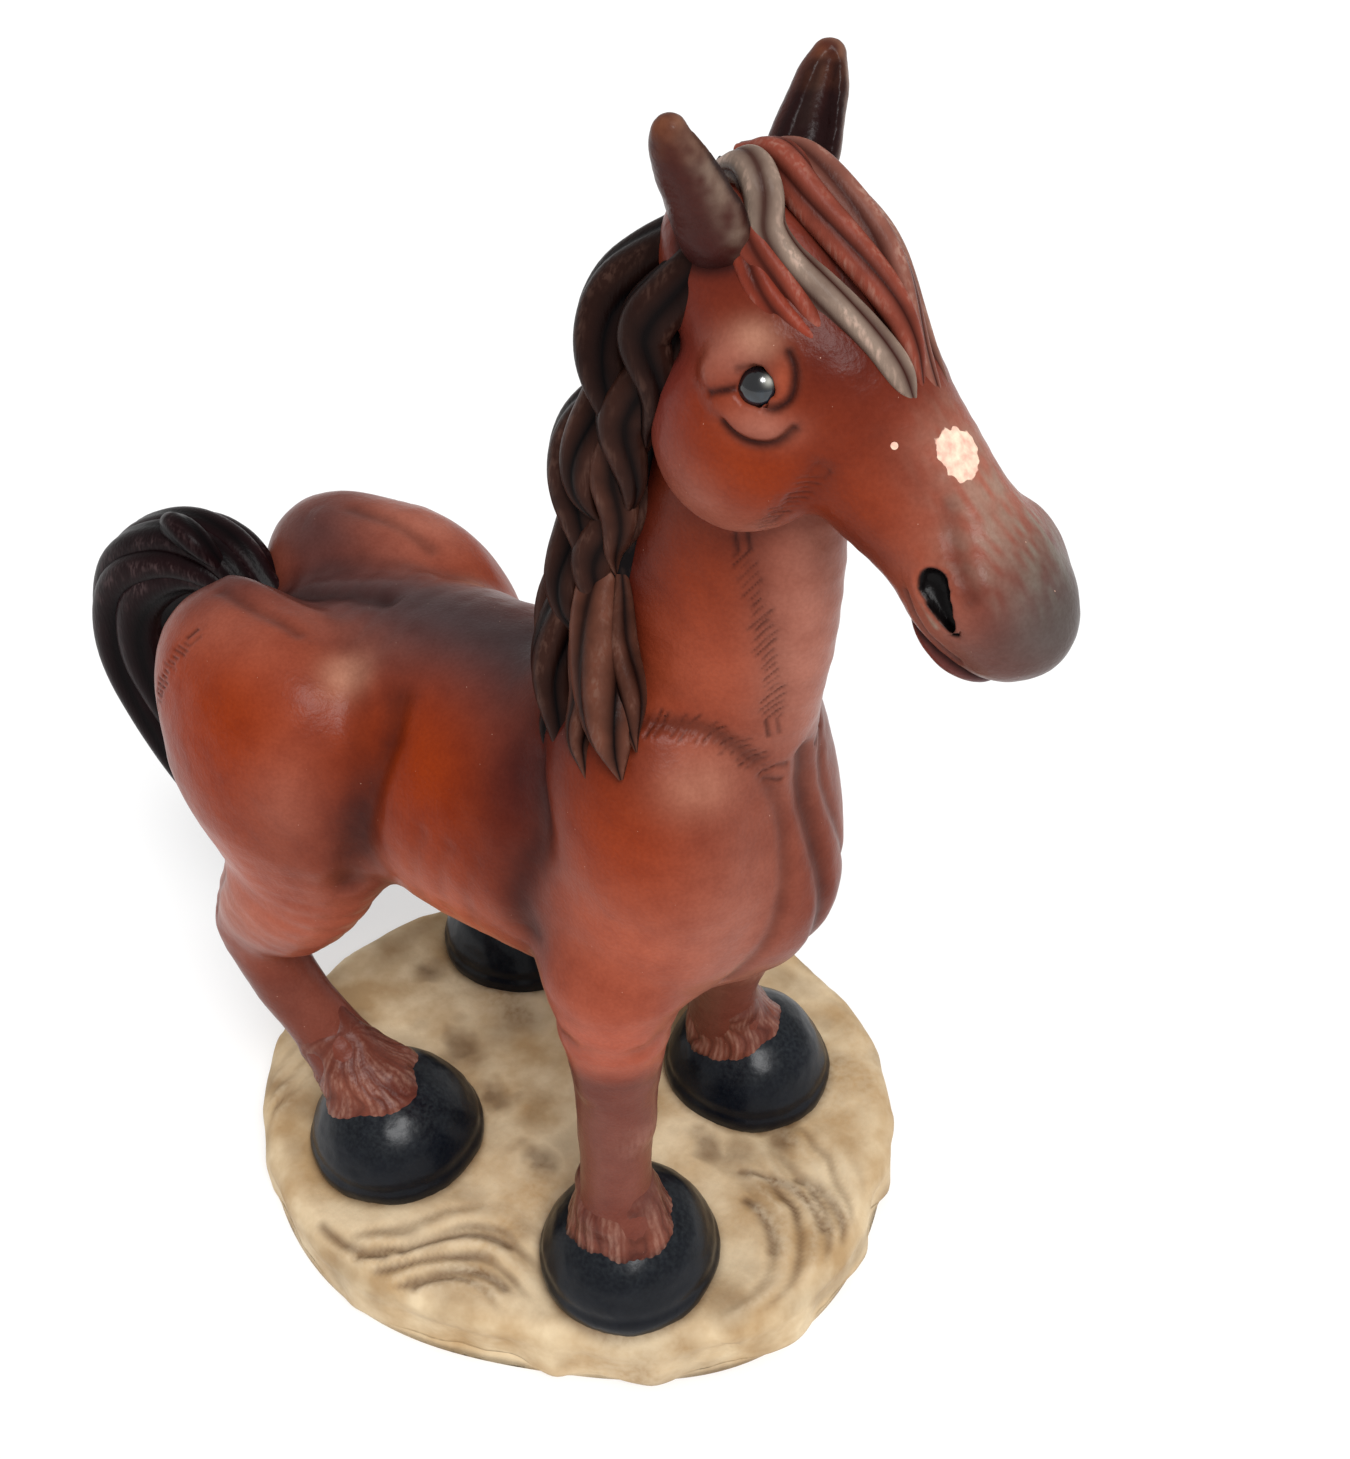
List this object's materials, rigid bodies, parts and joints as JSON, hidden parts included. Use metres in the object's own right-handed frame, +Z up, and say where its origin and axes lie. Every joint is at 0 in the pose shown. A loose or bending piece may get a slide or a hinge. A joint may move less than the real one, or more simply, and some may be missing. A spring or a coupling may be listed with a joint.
{
  "type": "horse figurine",
  "caption": "Hand-painted cast resin figurine of a stocky draught horse standing on a rock base.",
  "frame": {"origin": "on the underside of the felt sheet, in the horse's middle plane, just behind its shoulders", "axes": "+X forward, the way the horse faces; +Y to the horse's left; +Z up"},
  "size_m": [0.1178, 0.0758, 0.1427],
  "materials": {
    "coat_paint": "satin lacquer over airbrushed chestnut paint on cast resin",
    "feather_paint": "satin lacquer over brown-grey paint on cast resin",
    "hair_paint": "satin lacquer over near-black brown paint with a pale dry-brushed edge",
    "hoof_paint": "satin blue-black paint on cast resin",
    "eye_gloss": "glossy dark paint",
    "rock_paint": "matte cream paint with a brown wash on cast resin",
    "felt": "dark green felt sheet"
  },
  "bodies": {
    "root": {"rock_base": "rock_paint", "felt_pad": "felt", "barrel": "coat_paint", "neck": "coat_paint", "head": "coat_paint", "lower_lip": "coat_paint", "shoulder_left": "coat_paint", "shoulder_right": "coat_paint", "hindquarter_left": "coat_paint", "hindquarter_right": "coat_paint", "ear_left": "coat_paint", "ear_right": "coat_paint", "leg_fore_left": "coat_paint", "feather_fore_left": "feather_paint", "hoof_fore_left": "hoof_paint", "leg_fore_right": "coat_paint", "feather_fore_right": "feather_paint", "hoof_fore_right": "hoof_paint", "leg_hind_left": "coat_paint", "feather_hind_left": "feather_paint", "hoof_hind_left": "hoof_paint", "leg_hind_right": "coat_paint", "feather_hind_right": "feather_paint", "hoof_hind_right": "hoof_paint", "mane": "hair_paint", "shoulder_lock": "hair_paint", "forelock": "hair_paint", "tail": "hair_paint", "eye_left": "eye_gloss", "eye_right": "eye_gloss"}
  },
  "joints": []
}
